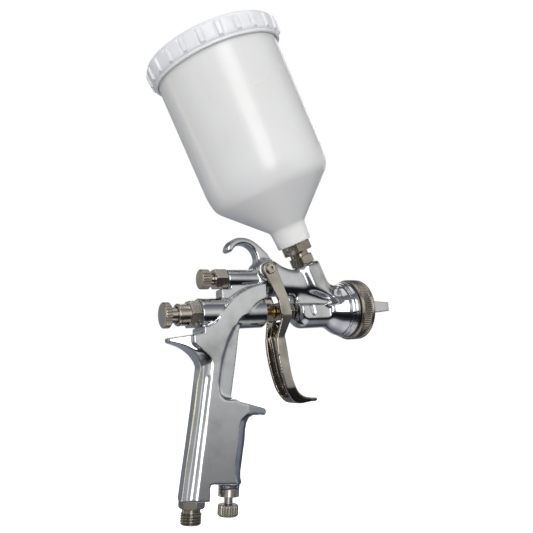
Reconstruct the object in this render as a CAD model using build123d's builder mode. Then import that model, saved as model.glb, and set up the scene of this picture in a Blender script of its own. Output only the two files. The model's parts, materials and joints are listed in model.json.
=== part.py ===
# A gravity-feed HVLP spray gun with a screw-on plastic cup.
# Frame: millimetres, +X out of the nozzle, +Y to the gun's left, +Z up.
# The origin is on the air inlet's axis, at its first thread crest, at the bottom of the handle.
import os
from math import cos, radians, sin

from build123d import *

os.makedirs("parts", exist_ok=True)

# Axes and driving places
needle_z = 130.0  # needle, air valve, packing, nozzle and ring share this axis
fan_z = needle_z + 23.7  # fan control above it
pivot_x, pivot_z = 64.5, 159.5  # trigger pivot
cup_x, cup_z = 94.5, 179.5  # lower end of the cup's neck, on the cup's axis
cup_lean = 22.2  # degrees the cup leans back
foot_lean = 7.0  # degrees the inlet and the regulator lean, as the handle does
regulator_x, regulator_z = 27.6, 16.0  # regulator axis at the foot of the handle

# Fits
running = 0.05  # radial clearance of a piece that turns or slides in its bore
seat = 0.02  # radial clearance of a fixed piece in its bore

# Body
barrel_r, barrel_rear, barrel_front = 10.8, 12.4, 61.0
fan_barrel_r, fan_barrel_rear = 7.0, 34.2
panel_half = 11.0  # half width of the handle over its flat sides
bevel = 4.6  # bevel along the back of the handle
pocket_half = 7.5  # half width in the recess along the front of the handle
spine_half = 7.5  # half width of the bridge from the pivot to the head
boss_r, boss_top = 11.8, -15.6  # feed boss under the cup
hook_x, hook_z, hook_r = 48.5, 168.0, 10.4  # round inside of the hanging hook

# Trigger
leg_in, leg_out, finger_half, wall = 9.8, 12.0, 9.0, 2.3
pin_r = 2.5

# Needle and air valve
needle_r, stem_r = 1.75, 2.9

# Head, ring and cap
thread_r, head_end = 20.0, 141.0
ring_r, ring_rear, ring_front = 23.0, 135.0, 147.0
horn_tip = 164.5

# Cup and lid, measured along the cup's axis from the lower end of its neck
neck_r, cup_r, cup_wall = 12.8, 47.2, 2.2
neck_top, cone_top, rim_s = 14.8, 47.9, 156.0
skirt_s, lid_top, lid_r = 144.6, 160.4, 49.6

lean_dir = (-sin(radians(cup_lean)), 0, cos(radians(cup_lean)))
foot_dir = (sin(radians(foot_lean)), 0, cos(radians(foot_lean)))
across = (0, 1, 0)
needle_plane = Plane(origin=(0, 0, needle_z), x_dir=across, z_dir=(1, 0, 0))
fan_plane = Plane(origin=(0, 0, fan_z), x_dir=across, z_dir=(1, 0, 0))
cup_plane = Plane(origin=(cup_x, 0, cup_z), x_dir=across, z_dir=lean_dir)
inlet_plane = Plane(origin=(0, 0, 0), x_dir=across, z_dir=foot_dir)
regulator_plane = Plane(origin=(regulator_x, 0, regulator_z), x_dir=across, z_dir=foot_dir)
pivot_plane = Plane(origin=(pivot_x, 0, pivot_z), x_dir=(1, 0, 0), z_dir=(0, 1, 0))


def save(piece, name):
    piece.part.label = name
    export_step(piece.part, "parts/" + name + ".step")
    print(name, "solids", len(piece.solids()), "volume", round(piece.part.volume))


def turned(plane, points, mode=Mode.ADD):
    """Revolve a profile of (distance along the plane's normal, radius) points."""
    with BuildSketch(Plane(origin=plane.origin, x_dir=plane.z_dir, z_dir=-plane.x_dir)) as profile:
        with BuildLine():
            Polyline(*points, close=True)
        make_face()
    revolve(profile.sketch, axis=Axis(plane.origin, plane.z_dir), mode=mode)


def rod(plane, start, end, radius, mode=Mode.ADD):
    """A round bar, or a bore, from start to end along the plane's normal."""
    with BuildSketch(plane.offset(start)) as disc:
        Circle(radius)
    extrude(disc.sketch, amount=end - start, mode=mode)


def tube(plane, start, end, outer, inner):
    """A ring or sleeve."""
    with BuildSketch(plane.offset(start)) as ring:
        Circle(outer)
        Circle(inner, mode=Mode.SUBTRACT)
    extrude(ring.sketch, amount=end - start)


def hexagon(plane, start, end, across_flats):
    """A hexagon head with its corners turned off, made first in its piece."""
    corner = across_flats / 3**0.5
    cut = corner - across_flats / 2
    inset = 0.6 * cut
    with BuildSketch(plane.offset(start)) as flats:
        RegularPolygon(corner, 6)
    extrude(flats.sketch, amount=end - start)
    points = [(start, 0), (start, corner - cut), (start + inset, corner)]
    points += [(end - inset, corner), (end, corner - cut), (end, 0)]
    turned(plane, points, mode=Mode.INTERSECT)


def knurled(plane, start, end, radius, grooves, depth):
    """A knob head with grooves along its rim."""
    with BuildSketch(plane.offset(start)) as rim:
        Circle(radius)
        with PolarLocations(radius, grooves):
            Circle(depth, mode=Mode.SUBTRACT)
    extrude(rim.sketch, amount=end - start)


def spring(plane, start, end, mean, wire, turns):
    """An open coil spring between two seats."""
    pitch = (end - start - 2 * wire) / turns
    with BuildLine() as coil:
        base = plane.offset(start + wire).origin
        Helix(pitch, pitch * turns, mean, center=base, direction=plane.z_dir)
    with BuildSketch(Plane(origin=coil.line @ 0, z_dir=coil.line % 0)) as section:
        Circle(wire)
    sweep(section.sketch, path=coil.line)


# Gun body: one chrome-plated forging, from the hanging hook to the foot of the handle
with BuildPart() as gun_body:
    # Handle, with the palm horn, the finger spur and the arm that rises to the pivot
    with BuildSketch(Plane.XZ):
        with BuildLine():
            Line((-4.6, 14.35), (10.2, 86))
            Spline((10.2, 86), (10.4, 95), (7.4, 103), (-2, 109.6), (-11.4, 112.4))
            Line((-11.4, 112.4), (-11.4, 115))
            Line((-11.4, 115), (12.4, 117))
            Line((12.4, 117), (12.4, 121))
            Spline((12.4, 121), (21.8, 124.4), (30.8, 135.6), (46, 145.6), (60.5, 149.5))
            Line((60.5, 149.5), (60.5, 139))
            Spline((60.5, 139), (52.2, 135.2), (44.1, 128), (40.3, 120.7))
            Spline((40.3, 120.7), (37.4, 108), (34.1, 92), (30.4, 75))
            Line((30.4, 75), (34, 71.2))
            Line((34, 71.2), (55.4, 64.4))
            ThreePointArc((55.4, 64.4), (57.4, 61.8), (55.2, 59.4))
            Spline((55.2, 59.4), (49.4, 60.4), (43, 57), (40.2, 46))
            Spline((40.2, 46), (36.4, 27), (38, 18.2))
            Line((38, 18.2), (16.4, 21.6))
            Line((16.4, 21.6), (10.6, 22.6))
            Line((10.6, 22.6), (9.6, 12.6))
            Line((9.6, 12.6), (-4.6, 14.35))
        make_face()
    extrude(amount=panel_half, both=True)
    # The horn and the spur narrow in plan towards their tips
    for tip_x, root_x, tip_half, low, high in ((-14, 12, 3.0, 88, 120), (59, 40, 3.4, 50, 76)):
        with BuildSketch(Plane.XY.offset(low)):
            with BuildLine():
                Polyline((root_x, panel_half), (tip_x, tip_half), (tip_x, 13), (root_x, 13), close=True)
            make_face()
            mirror(about=Plane.XZ)
        extrude(amount=high - low, mode=Mode.SUBTRACT)
    # Bevels along the back of the handle
    rear_run = Plane(origin=(-4.6, 0, 14.35), x_dir=across, z_dir=(14.8, 0, 71.65))
    with BuildSketch(rear_run.offset(-6)):
        with BuildLine():
            Polyline((panel_half - bevel, 0), (panel_half - bevel, 1), (panel_half + 1, 1),
                     (panel_half + 1, -bevel), (panel_half, -bevel), close=True)
        make_face()
        mirror(about=Plane.YZ)
    extrude(amount=83, mode=Mode.SUBTRACT)
    # Recess on each side along the front of the handle
    with BuildSketch(Plane.XZ):
        with BuildLine():
            Spline((44, 128), (38.9, 125), (34.8, 118.6), (30.1, 110.9), (25.2, 99.2), (21.6, 84))
            Spline((21.6, 84), (22.6, 76), (29, 72.8))
            Line((29, 72.8), (48, 72.8))
            Line((48, 72.8), (48, 128))
            Line((48, 128), (44, 128))
        make_face()
    extrude(amount=20, both=True, mode=Mode.SUBTRACT)
    with BuildSketch(Plane.XZ):
        with BuildLine():
            Spline((50, 134), (44.1, 128), (40.3, 120.7), (37.4, 108), (34.1, 92), (30.4, 75))
            Line((30.4, 75), (30.4, 71))
            Line((30.4, 71), (18, 74))
            Line((18, 74), (18, 100))
            Line((18, 100), (36, 134))
            Line((36, 134), (50, 134))
        make_face()
    extrude(amount=pocket_half, both=True)

    # Barrels
    rod(needle_plane, barrel_rear, barrel_front, barrel_r)
    rod(fan_plane, fan_barrel_rear, 66, fan_barrel_r)
    with BuildSketch(Plane.XZ):
        with BuildLine():
            Polyline((36, 134), (36, 152), (66, 152), (66, 140), (56, 134), close=True)
        make_face()
        with Locations((33, 142)):
            Rectangle(8, 9)
    extrude(amount=5.5, both=True)

    # Hanging hook
    with BuildSketch(Plane.XZ):
        with BuildLine():
            ThreePointArc((35.2, 174.6), (39.6, 180.9), (47.8, 183.2))
            Spline((47.8, 183.2), (56.2, 181.3), (63.9, 175.5), (72.1, 167.3), (78.1, 162.9),
                   (86, 160.6))
            Line((86, 160.6), (86, 150))
            Line((86, 150), (hook_x, 150))
            Line((hook_x, 150), (hook_x, hook_z - hook_r))
            ThreePointArc((hook_x, hook_z - hook_r), (hook_x + hook_r, hook_z), (hook_x, hook_z + hook_r))
            ThreePointArc((hook_x, hook_z + hook_r), (42.6, 176.6), (39.4, 173.0))
            ThreePointArc((39.4, 173.0), (36.8, 172.3), (35.2, 174.6))
        make_face()
    extrude(amount=4.8, both=True)
    rod(pivot_plane, -9.5, 9.5, 7.6)

    # Bridge to the head
    with BuildSketch(Plane.XZ):
        with BuildLine():
            Line((60, 166), (72.1, 166.4))
            Spline((72.1, 166.4), (78.1, 162.9), (84.5, 160.7), (92, 160))
            Spline((92, 160), (106, 155), (120, 149.3), (130, 147))
            Line((130, 147), (130, 132))
            Line((130, 132), (92, 132))
            Spline((92, 132), (90.5, 139), (85, 141))
            Line((85, 141), (66, 141))
            Line((66, 141), (58, 150))
            Line((58, 150), (60, 166))
        make_face()
    extrude(amount=spine_half, both=True)

    # Front housing and head
    with BuildSketch(Plane.XZ):
        with BuildLine():
            Polyline((head_end, needle_z + thread_r), (head_end, needle_z), (87, needle_z),
                     (87, needle_z + 6))
            ThreePointArc((87, needle_z + 6), (89.2, needle_z + 10.8), (95, needle_z + 12.8))
            Line((95, needle_z + 12.8), (112, needle_z + 12.8))
            Spline((112, needle_z + 12.8), (118.5, needle_z + 14.6), (123, needle_z + 17.4),
                   (126.6, needle_z + 19.2))
            Polyline((126.6, needle_z + 19.2), (129.1, needle_z + 19.2), (129.1, needle_z + 20.2),
                     (131.5, needle_z + 20.2), (131.5, needle_z + 21.2), (134.4, needle_z + 21.2),
                     (134.4, needle_z + thread_r), (head_end, needle_z + thread_r))
        make_face()
    revolve(axis=Axis((0, 0, needle_z), (1, 0, 0)))
    rod(cup_plane, -50, boss_top, boss_r)

    # Foot: inlet boss and regulator boss
    rod(inlet_plane, 13.6, 26, 7.2)
    rod(regulator_plane, 0, 8, 7.0)

    # Bores on the needle axis, from the rear
    rod(needle_plane, 10, 24, 7.5, mode=Mode.SUBTRACT)
    rod(needle_plane, 23, 44, 5.5, mode=Mode.SUBTRACT)
    rod(needle_plane, 43, 47, 2.3, mode=Mode.SUBTRACT)
    rod(needle_plane, 46, 62, 7.4, mode=Mode.SUBTRACT)
    rod(needle_plane, 86, 100, 4.6, mode=Mode.SUBTRACT)
    rod(needle_plane, 99, 104, 3.7, mode=Mode.SUBTRACT)
    rod(needle_plane, 103, 128, 4.2, mode=Mode.SUBTRACT)
    rod(needle_plane, 126, 142, 6.0, mode=Mode.SUBTRACT)
    # Air chamber in the head, round the nozzle's boss
    turned(needle_plane, [(137, 10), (142, 10), (142, 18), (137, 18)], mode=Mode.SUBTRACT)
    # Paint passage, cup thread, fan bores and air passage up the handle
    rod(cup_plane, -50, boss_top, 4.2, mode=Mode.SUBTRACT)
    rod(cup_plane, -28, boss_top + 1, 7.0, mode=Mode.SUBTRACT)
    rod(fan_plane, 33, 44, 5.0, mode=Mode.SUBTRACT)
    rod(fan_plane, 43, 55, 3.4, mode=Mode.SUBTRACT)
    rod(inlet_plane, 12, 26, 5.5, mode=Mode.SUBTRACT)
    rod(inlet_plane, 25, 92, 4.0, mode=Mode.SUBTRACT)
    rod(regulator_plane, -1, 12, 5.0, mode=Mode.SUBTRACT)
    rod(regulator_plane, 11, 24, 3.3, mode=Mode.SUBTRACT)
    rod(pivot_plane, -12, 12, pin_r + seat, mode=Mode.SUBTRACT)
save(gun_body, "gun_body")

# Fluid control at the rear: bushing, knob, spring seat
with BuildPart() as fluid_bushing:
    hexagon(needle_plane, 5.2, barrel_rear, 17.5)
    rod(needle_plane, -0.8, 5.2, 7.3)
    turned(needle_plane, [(-2.8, 0), (-2.8, 6.9), (-2.2, 7.5), (-0.8, 7.5), (-0.8, 0)])
    rod(needle_plane, barrel_rear, 24, 7.5 - seat)
    rod(needle_plane, -3, 4, 5.7, mode=Mode.SUBTRACT)
    rod(needle_plane, 3, 13, 4.0, mode=Mode.SUBTRACT)
    rod(needle_plane, 12.5, 25, 5.5, mode=Mode.SUBTRACT)
save(fluid_bushing, "fluid_bushing")

with BuildPart() as fluid_knob:
    knurled(needle_plane, -12.4, -7.5, 8.57, 24, 0.55)
    rod(needle_plane, -7.5, 1.0, 5.3)
    rod(needle_plane, 1.0, 13.7, 4.0 - running)
    rod(needle_plane, 7, 14, 2.0, mode=Mode.SUBTRACT)
save(fluid_knob, "fluid_knob")

with BuildPart() as spring_seat:
    tube(needle_plane, 16.4, 17.6, 4.9, 2.0)
    tube(needle_plane, 14.0, 16.4, 3.4, 2.0)
save(spring_seat, "spring_seat")

with BuildPart() as needle_spring:
    spring(needle_plane, 17.9, 40.0, 3.7, 0.45, 7)
save(needle_spring, "needle_spring")

with BuildPart() as fluid_needle:
    points = [(20, 0), (20, 1.0), (20.6, 1.5), (40.3, 1.5), (40.3, 4.6), (42.3, 4.6), (42.3, needle_r)]
    points += [(125, needle_r), (136, 1.3), (145.6, 0.55), (146.6, 0)]
    turned(needle_plane, points)
save(fluid_needle, "fluid_needle")

# Air valve in the front of the lower barrel
with BuildPart() as air_valve_gland:
    tube(needle_plane, 55.4, 61.8, 7.4 - seat, stem_r + running)
    with BuildSketch(needle_plane.offset(60.4)):
        Rectangle(20, 2.4)
    extrude(amount=3, mode=Mode.SUBTRACT)
save(air_valve_gland, "air_valve_gland")

with BuildPart() as air_valve_stem:
    rod(needle_plane, 53.4, 69.2, stem_r)
    rod(needle_plane, 53.2, 55.0, 5.2)
    turned(needle_plane, [(69.2, 0), (69.2, 3.8), (69.8, 4.4), (70.6, 4.4), (70.6, 0)])
    rod(needle_plane, 52, 72, needle_r + 0.06, mode=Mode.SUBTRACT)
save(air_valve_stem, "air_valve_stem")

with BuildPart() as air_valve_spring:
    spring(needle_plane, 46.3, 52.9, 4.0, 0.4, 4)
save(air_valve_spring, "air_valve_spring")

# Fluid packing behind the head
with BuildPart() as needle_packing:
    tube(needle_plane, 100.1, 103.0, 3.7 - seat, needle_r + running)
save(needle_packing, "needle_packing")

with BuildPart() as packing_nut:
    hexagon(needle_plane, 82.5, 86.4, 11.0)
    rod(needle_plane, 86.4, 87.0, 4.9)
    rod(needle_plane, 87.0, 99.9, 4.6 - seat)
    rod(needle_plane, 82, 101, needle_r + 0.3, mode=Mode.SUBTRACT)
save(packing_nut, "packing_nut")

# Nozzle set
with BuildPart() as fluid_nozzle:
    hexagon(needle_plane, head_end, 144.2, 12.0)
    turned(needle_plane, [(130, 0), (130, 6.0 - seat), (head_end, 6.0 - seat), (head_end, 0)])
    turned(needle_plane, [(144.2, 0), (144.2, 4.6), (147.0, 2.4), (148.6, 2.2), (148.6, 0)])
    passage = [(129, 0), (129, 3.4), (139, 2.8), (147.4, 0.75), (149, 0.75), (149, 0)]
    turned(needle_plane, passage, mode=Mode.SUBTRACT)
save(fluid_nozzle, "fluid_nozzle")

with BuildPart() as air_baffle:
    tube(needle_plane, 138.6, head_end, 18.0 - seat, 10.0 + seat)
    with BuildSketch(needle_plane.offset(138)):
        with PolarLocations(14, 12):
            Circle(1.4)
    extrude(amount=4, mode=Mode.SUBTRACT)
save(air_baffle, "air_baffle")

with BuildPart() as cap_seal:
    tube(needle_plane, 141.3, 142.2, 21.2, 18.6)
save(cap_seal, "cap_seal")

with BuildPart() as air_cap:
    points = [(142.4, 18.2), (142.4, 21.2), (145.0, 21.2), (145.0, 19.6), (148.0, 18.8)]
    points += [(148.4, 17.6), (148.4, 11), (149.8, 8), (149.8, 3.0), (147.2, 3.0), (146.0, 8)]
    points += [(145.6, 17.0)]
    turned(needle_plane, points)
    # Two horns, left and right, each with two jets aimed at the axis
    for turn in (1, -1):
        with BuildSketch(Plane.XY.offset(needle_z)):
            with BuildLine():
                Polyline((146, turn * 11.6), (146, turn * 18.9), (horn_tip, turn * 17.4),
                         (horn_tip, turn * 14.6), (150, turn * 10.6), close=True)
            make_face()
        extrude(amount=4.4, both=True)
    with BuildSketch(Plane.XZ):
        with BuildLine():
            Polyline((140, needle_z - 22), (148, needle_z - 22), (148.4, needle_z - 4.4),
                     (horn_tip + 1, needle_z - 3.3), (horn_tip + 1, needle_z + 3.3),
                     (148.4, needle_z + 4.4), (148, needle_z + 22), (140, needle_z + 22), close=True)
        make_face()
    extrude(amount=30, both=True, mode=Mode.INTERSECT)
    for turn in (1, -1):
        jet = Plane(origin=(horn_tip - 3.5, 0, needle_z), x_dir=(0, 0, 1), z_dir=(-0.5, turn, 0))
        with BuildSketch(jet):
            with GridLocations(3.4, 1, 2, 1):
                Circle(0.7)
        extrude(amount=16, mode=Mode.SUBTRACT)
save(air_cap, "air_cap")

with BuildPart() as air_cap_ring:
    points = [(ring_rear, thread_r + 0.07), (ring_rear, 21.6), (136.2, ring_r), (146.0, ring_r)]
    points += [(ring_front, 22.2), (ring_front, 20.2), (145.1, 20.2), (145.1, 21.5)]
    points += [(141.2, 21.5), (141.2, thread_r + 0.07)]
    turned(needle_plane, points)
save(air_cap_ring, "air_cap_ring")

# Fan control above the lower barrel
with BuildPart() as fan_bushing:
    hexagon(fan_plane, 25.2, fan_barrel_rear, 13.0)
    rod(fan_plane, fan_barrel_rear, 44, 5.0 - seat)
    rod(fan_plane, 25, 32, 4.1, mode=Mode.SUBTRACT)
    rod(fan_plane, 31, 45, 3.0, mode=Mode.SUBTRACT)
save(fan_bushing, "fan_bushing")

with BuildPart() as fan_knob:
    knurled(fan_plane, 15.1, 21.8, 6.87, 20, 0.5)
    rod(fan_plane, 21.8, 29.6, 3.8)
    rod(fan_plane, 16.5, 29.6, 1.6, mode=Mode.SUBTRACT)
save(fan_knob, "fan_knob")

with BuildPart() as fan_spindle:
    rod(fan_plane, 16.5, 29.6, 1.6)
    rod(fan_plane, 29.6, 47, 3.0 - running)
    turned(fan_plane, [(47, 0), (47, 2.1), (50.4, 2.1), (53, 0.6), (53, 0)])
save(fan_spindle, "fan_spindle")

with BuildPart() as fan_oring:
    tube(fan_plane, 47.2, 49.0, 3.35, 2.15)
save(fan_oring, "fan_oring")

# Air inlet and regulator at the foot of the handle
with BuildPart() as air_inlet:
    hexagon(inlet_plane, 8.9, 13.6, 14.6)
    points = [(-0.7, 0), (-0.7, 5.9), (0, 6.58)]
    for turn in range(5):
        low = 0.9 + 1.6 * turn
        points += [(low, 6.58), (low + 0.35, 5.9), (low + 0.75, 5.9), (low + 1.1, 6.58)]
    points += [(8.4, 5.6), (8.9, 5.6), (8.9, 0)]
    turned(inlet_plane, points)
    rod(inlet_plane, 13.6, 24, 5.5 - seat)
    rod(inlet_plane, -2, 25, 3.6, mode=Mode.SUBTRACT)
save(air_inlet, "air_inlet")

with BuildPart() as regulator_bushing:
    tube(regulator_plane, -4.6, 0, 6.8, 2.85)
    tube(regulator_plane, 0, 11, 5.0 - seat, 2.85)
save(regulator_bushing, "regulator_bushing")

with BuildPart() as regulator_knob:
    knurled(regulator_plane, -16.4, -9.2, 6.75, 18, 0.5)
    rod(regulator_plane, -15, -9, 1.6, mode=Mode.SUBTRACT)
save(regulator_knob, "regulator_knob")

with BuildPart() as regulator_spindle:
    rod(regulator_plane, -15, -9.2, 1.6)
    rod(regulator_plane, -9.2, 14, 2.8)
    turned(regulator_plane, [(14, 0), (14, 2.0), (17.4, 2.0), (21, 0.6), (21, 0)])
save(regulator_spindle, "regulator_spindle")

with BuildPart() as regulator_oring:
    tube(regulator_plane, 14.2, 16.0, 3.25, 2.05)
save(regulator_oring, "regulator_oring")

# Trigger: two legs that join in a hollow finger piece, with a bar that pushes the air valve
with BuildPart() as trigger_hollow:
    with BuildSketch(Plane.XZ):
        with BuildLine():
            Line((40, 175), (90, 175))
            Line((90, 175), (90, 123))
            Line((90, 123), (76.4, 123))
            Line((76.4, 123), (71.6, 112.6))
            Spline((71.6, 112.6), (73.0, 103), (74.8, 88), (77.0, 79), (80.4, 71.4))
            Line((80.4, 71.4), (78.4, 69.4))
            Line((78.4, 69.4), (40, 69.4))
            Line((40, 69.4), (40, 175))
        make_face()
    extrude(amount=leg_out, both=True)
    low_in = finger_half - wall
    with BuildSketch(Plane.YZ):
        with BuildLine():
            Polyline((leg_in, 176), (leg_in, 127), (low_in, 111), (low_in - 0.6, 78), (4, 60),
                     (-4, 60), (0.6 - low_in, 78), (-low_in, 111), (-leg_in, 127), (-leg_in, 176),
                     close=True)
        make_face()
    extrude(amount=130, mode=Mode.INTERSECT)

with BuildPart() as trigger:
    with BuildSketch(Plane.XZ):
        with BuildLine():
            Line((69.6, 161.6), (78.2, 137.4))
            Line((78.2, 137.4), (80, 126))
            Line((80, 126), (74, 112.6))
            Spline((74, 112.6), (75.4, 103), (77.2, 88), (79.4, 79), (82.6, 73), (88.5, 69),
                   (98, 67.4))
            ThreePointArc((98, 67.4), (98.6, 66.0), (97, 64.8))
            Spline((97, 64.8), (89.6, 64.6), (84.2, 64.4), (78.4, 66.2))
            Spline((78.4, 66.2), (74.6, 71), (70.6, 82), (67.6, 99), (67.2, 110))
            Line((67.2, 110), (71.2, 125))
            Line((71.2, 125), (69.2, 137.4))
            Line((69.2, 137.4), (59.4, 157.6))
            ThreePointArc((59.4, 157.6), (62.7, 164.6), (69.6, 161.6))
        make_face()
    extrude(amount=leg_out, both=True)
    with BuildSketch(Plane.YZ):
        with BuildLine():
            Polyline((leg_out, 168), (leg_out, 127), (finger_half, 111), (finger_half - 0.6, 76),
                     (6.5, 66), (5.5, 60), (-5.5, 60), (-6.5, 66), (0.6 - finger_half, 76),
                     (-finger_half, 111), (-leg_out, 127), (-leg_out, 168), close=True)
        make_face()
    extrude(amount=130, mode=Mode.INTERSECT)
    add(trigger_hollow.part, mode=Mode.SUBTRACT)
    # Push bar, slotted where the needle passes
    with BuildSketch(Plane.XZ):
        with Locations((73, 129.8)):
            RectangleRounded(3.6, 12.5, 1.2)
    extrude(amount=leg_in + 0.5, both=True)
    with BuildSketch(Plane.YZ):
        with Locations((0, 129.8)):
            SlotCenterToCenter(4.4, 4.8, rotation=90)
    extrude(amount=80, mode=Mode.SUBTRACT)
    rod(pivot_plane, -14, 14, pin_r + running, mode=Mode.SUBTRACT)
save(trigger, "trigger")

with BuildPart() as trigger_pin:
    rod(pivot_plane, -12.2, 12.3, pin_r)
    turned(pivot_plane, [(12.3, 0), (12.3, 3.5), (13.4, 3.5), (14.0, 2.9), (14.0, 0)])
    rod(pivot_plane, -13, -3, 1.5, mode=Mode.SUBTRACT)
save(trigger_pin, "trigger_pin")

with BuildPart() as trigger_screw:
    rod(pivot_plane, -12.3, -4, 1.5 - seat)
    turned(pivot_plane, [(-12.3, 0), (-12.3, 3.5), (-13.4, 3.5), (-14.0, 2.9), (-14.0, 0)])
    with BuildSketch(pivot_plane.offset(-14.1)):
        RegularPolygon(1.6, 6)
    extrude(amount=1.4, mode=Mode.SUBTRACT)
save(trigger_screw, "trigger_screw")

# Cup and what screws into it
with BuildPart() as cup_outlet:
    hexagon(cup_plane, -5.7, 1.2, 21.0)
    rod(cup_plane, 1.2, 12, 9.0 - seat)
    rod(cup_plane, -27.5, -5.7, 7.0 - running)
    rod(cup_plane, -28, 13, 4.6, mode=Mode.SUBTRACT)
save(cup_outlet, "cup_outlet")

with BuildPart() as cup_lock_nut:
    hexagon(cup_plane, boss_top + 0.3, -8.9, 17.0)
    rod(cup_plane, boss_top, -8, 7.0, mode=Mode.SUBTRACT)
save(cup_lock_nut, "cup_lock_nut")

with BuildPart() as cup:
    inner = cup_r - cup_wall
    points = [(1.2, 9.0), (1.2, neck_r), (neck_top, neck_r + 0.9), (cone_top - 3.5, cup_r - 3.4)]
    points += [(cone_top - 1.2, cup_r - 0.9), (cone_top + 2, cup_r), (rim_s, cup_r), (rim_s, inner)]
    points += [(cone_top + 2.6, inner), (cone_top + 0.4, inner - 1.2), (neck_top + 1.2, neck_r - 1.4)]
    points += [(neck_top - 2.6, neck_r - 1.9), (12.2, 9.0)]
    turned(cup_plane, points)
save(cup, "cup")

with BuildPart() as cup_strainer:
    tube(cup_plane, 12.2, 13.4, 10.0, 4.6)
    tube(cup_plane, 13.4, 27.0, 6.0, 4.8)
    rod(cup_plane, 27.0, 28.2, 6.0)
    with BuildSketch(cup_plane.offset(26)):
        with PolarLocations(3.2, 6):
            Circle(0.9)
    extrude(amount=3, mode=Mode.SUBTRACT)
    for level in range(4):
        ring_plane = cup_plane.offset(16 + 2.8 * level)
        with BuildSketch(ring_plane):
            with PolarLocations(6, 8):
                Rectangle(5, 1.6)
        extrude(amount=1.5, mode=Mode.SUBTRACT)
save(cup_strainer, "cup_strainer")

with BuildPart() as lid_gasket:
    tube(cup_plane, rim_s + 0.3, rim_s + 1.5, cup_r - 0.2, cup_r - cup_wall - 2)
save(lid_gasket, "lid_gasket")

with BuildPart() as cup_lid:
    points = [(skirt_s, cup_r + 0.35), (skirt_s, lid_r - 0.6), (skirt_s + 0.8, lid_r)]
    points += [(lid_top - 3.4, lid_r + 1.6), (lid_top - 1.0, lid_r + 0.8), (lid_top, lid_r - 1.8)]
    points += [(lid_top, lid_r - 5), (lid_top - 1.2, lid_r - 6.5), (lid_top - 1.2, 0)]
    points += [(rim_s + 1.6, 0), (rim_s + 1.6, cup_r + 0.35)]
    turned(cup_plane, points)
    # Grip ribs round the skirt
    with BuildSketch(cup_plane.offset(skirt_s + 1.6)):
        with PolarLocations(lid_r + 1.0, 24):
            Rectangle(4.4, 6.6)
    extrude(amount=lid_top - 3.0 - skirt_s - 1.6)
    with BuildSketch(cup_plane.offset(rim_s)):
        with Locations((0, 24)):
            Circle(1.5)
    extrude(amount=8, mode=Mode.SUBTRACT)
save(cup_lid, "cup_lid")

with BuildPart() as vent_plug:
    top = cup_plane.offset(lid_top - 1.2)
    with BuildSketch(top):
        with Locations((0, 24)):
            Circle(4.2)
    extrude(amount=3.4)
    with BuildSketch(top.offset(-1.2)):
        with Locations((0, 24)):
            Circle(1.5 - seat)
    extrude(amount=1.2)
save(vent_plug, "vent_plug")
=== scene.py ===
import json
from math import atan2, cos, pi, radians, sin

import bmesh
import bpy
import numpy as np
from mathutils import Matrix, Vector


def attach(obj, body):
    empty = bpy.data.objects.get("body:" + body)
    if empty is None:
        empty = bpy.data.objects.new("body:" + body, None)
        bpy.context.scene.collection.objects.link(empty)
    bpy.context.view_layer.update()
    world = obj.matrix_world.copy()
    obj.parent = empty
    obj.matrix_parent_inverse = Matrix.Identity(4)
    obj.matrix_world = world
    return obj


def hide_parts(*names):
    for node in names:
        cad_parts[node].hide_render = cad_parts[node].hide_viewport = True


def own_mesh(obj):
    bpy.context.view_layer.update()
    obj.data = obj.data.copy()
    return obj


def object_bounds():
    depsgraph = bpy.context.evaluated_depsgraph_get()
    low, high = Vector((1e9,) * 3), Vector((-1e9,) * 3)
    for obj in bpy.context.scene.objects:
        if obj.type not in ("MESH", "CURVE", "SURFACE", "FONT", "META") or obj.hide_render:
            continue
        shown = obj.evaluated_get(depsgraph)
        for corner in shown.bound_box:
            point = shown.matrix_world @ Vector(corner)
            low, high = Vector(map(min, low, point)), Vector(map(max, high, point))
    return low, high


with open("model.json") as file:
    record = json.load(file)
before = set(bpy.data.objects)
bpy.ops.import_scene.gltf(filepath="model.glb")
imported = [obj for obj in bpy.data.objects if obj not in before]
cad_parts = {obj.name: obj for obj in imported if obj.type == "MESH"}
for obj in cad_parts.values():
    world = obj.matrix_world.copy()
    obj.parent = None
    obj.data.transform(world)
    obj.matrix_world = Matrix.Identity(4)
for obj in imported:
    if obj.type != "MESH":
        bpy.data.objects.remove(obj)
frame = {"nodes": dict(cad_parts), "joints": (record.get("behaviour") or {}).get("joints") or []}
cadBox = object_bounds()
nodes = frame["nodes"]
jointOf = {joint["name"]: joint for joint in frame["joints"]}
mm = 0.001
print("frame loaded,", len(nodes), "nodes")


def axisOf(name):
    joint = jointOf[name]
    return np.array(joint["pos_m"]), np.array(joint["axis"], float)


needleAxis = (axisOf("fluid_turn")[0] * [0, 1, 1], np.array([1.0, 0, 0]))
fanAxis = (axisOf("fan_turn")[0] * [0, 1, 1], np.array([1.0, 0, 0]))
regulatorAxis = axisOf("regulator_turn")
cupAxis = axisOf("cup_swivel")
inletAxis = (np.zeros(3), regulatorAxis[1])


class Wire:  # a node's output, so that masks can be written as sums and products
    def __init__(self, graph, socket):
        self.graph = graph
        self.socket = socket

    def maths(self, operation, *values):
        return self.graph.add("ShaderNodeMath", {"operation": operation}, dict(enumerate(values)))

    def __add__(self, other):
        return self.maths("ADD", self, other)

    def __sub__(self, other):
        return self.maths("SUBTRACT", self, other)

    def __mul__(self, other):
        return self.maths("MULTIPLY", self, other)

    def __rsub__(self, other):
        return self.maths("SUBTRACT", other, self)

    __radd__ = __add__
    __rmul__ = __mul__


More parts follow.
